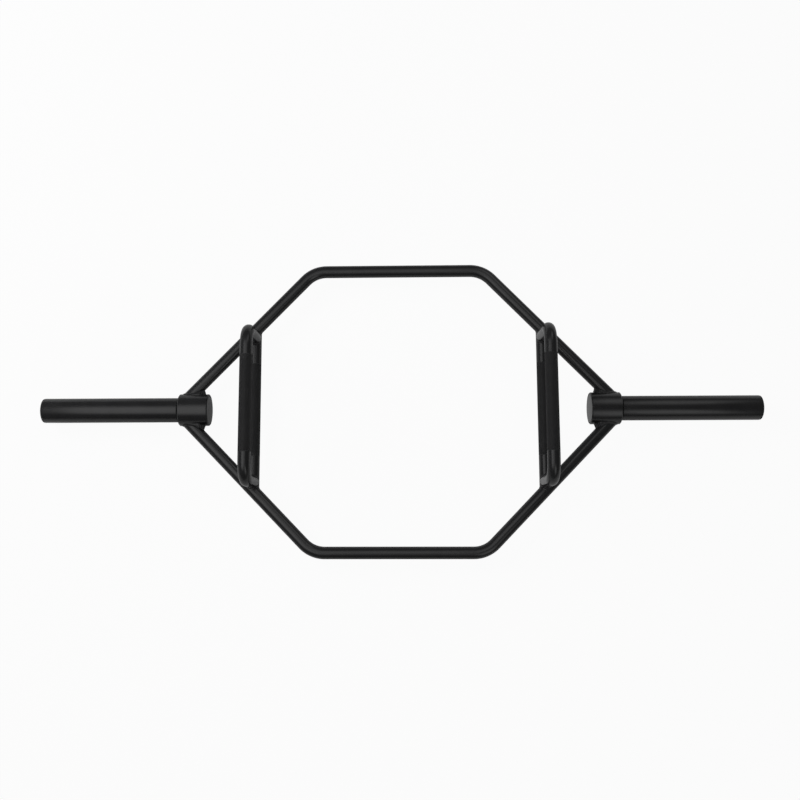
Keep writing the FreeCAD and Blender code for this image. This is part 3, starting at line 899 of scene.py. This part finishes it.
# The camera
CAMERA_PLACE = Vector((15.1, -239.3, 1935.5)) * MM
CAMERA_TURN = Euler((0.1432, 0.0271, -0.0013), "XYZ")
CAMERA_SHIFT_X = 0.0239
CAMERA_SHIFT_Y = -0.0097
CAMERA_REACH = 100.0
FOCAL_PIXELS = 938.3
IMAGE_PIXELS = 800
SENSOR_WIDTH = 36.0


def seen_directly(nodes, links, share):
    """1 for the camera's own view and a share of it in mirrors and glass."""
    path = nodes.new("ShaderNodeLightPath").outputs
    bounced = calculate(nodes, links, "MAXIMUM", path["Is Glossy Ray"], path["Is Transmission Ray"])
    dimmed = calculate(nodes, links, "MULTIPLY", bounced, share)
    return calculate(nodes, links, "MAXIMUM", path["Is Camera Ray"], dimmed)


def floor_material():
    """Pale floor: nearly white to the camera, dimmer in reflections with painted light rising to the
    right, with a faint shadow.
    """
    material = bpy.data.materials.new("studio_floor")
    material.use_nodes = True
    nodes = material.node_tree.nodes
    links = material.node_tree.links
    nodes.clear()
    output = nodes.new("ShaderNodeOutputMaterial")
    matte = nodes.new("ShaderNodeBsdfDiffuse")
    set_input(matte, "Color", FLOOR_COLOUR)
    glow = nodes.new("ShaderNodeEmission")
    set_input(glow, "Strength", 1.0)
    split = nodes.new("ShaderNodeSeparateXYZ")
    links.new(nodes.new("ShaderNodeTexCoord").outputs["Object"], split.inputs["Vector"])
    # In reflections the floor's glow rises to the right: painted light on the floor
    mirrored_range = (FLOOR_MIRRORED_LEFT, FLOOR_MIRRORED_RIGHT)
    stretch = (-FLOOR_MIRRORED_HALF, FLOOR_MIRRORED_HALF)
    mirrored_glow_with_painted_light = remap(nodes, links, split.outputs["X"], *mirrored_range, *stretch)
    seen = seen_directly(nodes, links, mirrored_glow_with_painted_light)
    share = calculate(nodes, links, "MULTIPLY", seen, FLOOR_GLOW)
    mix = nodes.new("ShaderNodeMixShader")
    links.new(share, mix.inputs["Fac"])
    links.new(matte.outputs["BSDF"], mix.inputs[1])
    links.new(glow.outputs["Emission"], mix.inputs[2])
    links.new(mix.outputs["Shader"], output.inputs["Surface"])
    return material


def add_floor():
    """Plain pale floor under the bar."""
    mesh = bpy.data.meshes.new("studio_floor")
    corners = []
    for x, y in ((-1, -1), (1, -1), (1, 1), (-1, 1)):
        corners.append((x * FLOOR_HALF, y * FLOOR_HALF, -FLOOR_DROP))
    mesh.from_pydata(corners, [], [(0, 1, 2, 3)])
    mesh.materials.append(floor_material())
    floor = bpy.data.objects.new("studio_floor", mesh)
    bpy.context.scene.collection.objects.link(floor)


def add_world():
    """A dim studio round the bar, seen as a white backdrop."""
    world = bpy.data.worlds.new("studio")
    bpy.context.scene.world = world
    world.use_nodes = True
    nodes = world.node_tree.nodes
    links = world.node_tree.links
    room = nodes["Background"]
    set_input(room, "Color", ROOM_COLOUR)
    backdrop = nodes.new("ShaderNodeBackground")
    set_input(backdrop, "Color", BACKDROP_COLOUR)
    mix = nodes.new("ShaderNodeMixShader")
    links.new(seen_directly(nodes, links, BACKDROP_MIRRORED), mix.inputs["Fac"])
    links.new(room.outputs["Background"], mix.inputs[1])
    links.new(backdrop.outputs["Background"], mix.inputs[2])
    links.new(mix.outputs["Shader"], nodes["World Output"].inputs["Surface"])


def soften(lamp, fading):
    """Lets a lamp's face fade towards its edges; fading is the share of each half that fades."""
    lamp.use_nodes = True
    nodes = lamp.node_tree.nodes
    links = lamp.node_tree.links
    split = nodes.new("ShaderNodeSeparateXYZ")
    links.new(nodes.new("ShaderNodeNewGeometry").outputs["Parametric"], split.inputs["Vector"])
    middle = 0.5
    fades = []
    for axis, part in zip("XY", fading):
        offset = calculate(nodes, links, "SUBTRACT", split.outputs[axis], middle)
        fade = nodes.new("ShaderNodeMapRange")
        fade.interpolation_type = "SMOOTHSTEP"
        set_input(fade, "From Min", middle)
        set_input(fade, "From Max", middle * (1 - part))
        links.new(calculate(nodes, links, "ABSOLUTE", offset), fade.inputs["Value"])
        fades.append(fade.outputs["Result"])
    strength = calculate(nodes, links, "MULTIPLY", *fades)
    links.new(strength, nodes["Emission"].inputs["Strength"])


def add_softbox(name, place, size, brightness, fading, aim=None):
    """A rectangular lamp, aimed straight down unless an aim is given.

    The brightness is what the middle of its face shows, where 1 is white.
    """
    width, height = size
    lamp = bpy.data.lights.new(name, "AREA")
    lamp.shape = "RECTANGLE"
    lamp.size = width
    lamp.size_y = height
    lamp.energy = brightness * math.pi * width * height
    soften(lamp, fading)
    softbox = bpy.data.objects.new(name, lamp)
    softbox.visible_camera = False
    softbox.location = place
    below = (place[0], place[1], 0.0)
    heading = Vector(aim or below) - Vector(place)
    softbox.rotation_euler = heading.to_track_quat("-Z", "Y").to_euler()
    bpy.context.scene.collection.objects.link(softbox)
    return softbox


def add_lights():
    """Soft lamps: a wide key on the left, two over the middle, two on the right and a fill.

    The key shows in reflections only, and the fill lights without showing in them.
    """
    key = add_softbox(
        "key_left",
        place=(-0.97, -0.22, LAMP_HEIGHT),
        size=(1.4, 3.6),
        brightness=1.15,
        fading=(0.2, 0.8),
    )
    key.visible_diffuse = False
    add_softbox(
        "middle",
        place=(0.02, 0.15, LAMP_HEIGHT),
        size=(0.66, 2.9),
        brightness=0.46,
        fading=(0.2, 1.0),
    )
    add_softbox(
        "middle_strip",
        place=(0.02, 0.0, STRIP_HEIGHT),
        size=(0.66, 5.4),
        brightness=0.33,
        fading=(0.2, 0.9),
    )
    add_softbox(
        "rear_right",
        place=(1.15, 1.78, LAMP_HEIGHT),
        size=(1.4, 3.2),
        brightness=0.80,
        fading=(0.5, 1.0),
        aim=RIGHT_AIM,
    )
    add_softbox(
        "front_right",
        place=(1.10, -1.74, LAMP_HEIGHT),
        size=(1.4, 3.2),
        brightness=1.05,
        fading=(0.5, 1.0),
        aim=RIGHT_AIM,
    )
    fill = add_softbox(
        "fill",
        place=(-1.8, 0.9, FILL_HEIGHT),
        size=(1.6, 1.6),
        brightness=8.5,
        fading=(0.3, 0.3),
        aim=(0.0, 0.0, 0.0),
    )
    fill.visible_glossy = False


def add_camera():
    """The photograph's viewpoint."""
    lens = bpy.data.cameras.new("photo_view")
    lens.sensor_width = SENSOR_WIDTH
    lens.lens = FOCAL_PIXELS / IMAGE_PIXELS * SENSOR_WIDTH
    lens.shift_x = CAMERA_SHIFT_X
    lens.shift_y = CAMERA_SHIFT_Y
    lens.clip_end = CAMERA_REACH
    camera = bpy.data.objects.new("photo_view", lens)
    camera.location = CAMERA_PLACE
    camera.rotation_euler = CAMERA_TURN
    bpy.context.scene.collection.objects.link(camera)
    bpy.context.scene.camera = camera


dress_frame()
make_pieces()
add_floor()
add_world()
add_lights()
add_camera()
bpy.context.scene.view_settings.view_transform = "Standard"
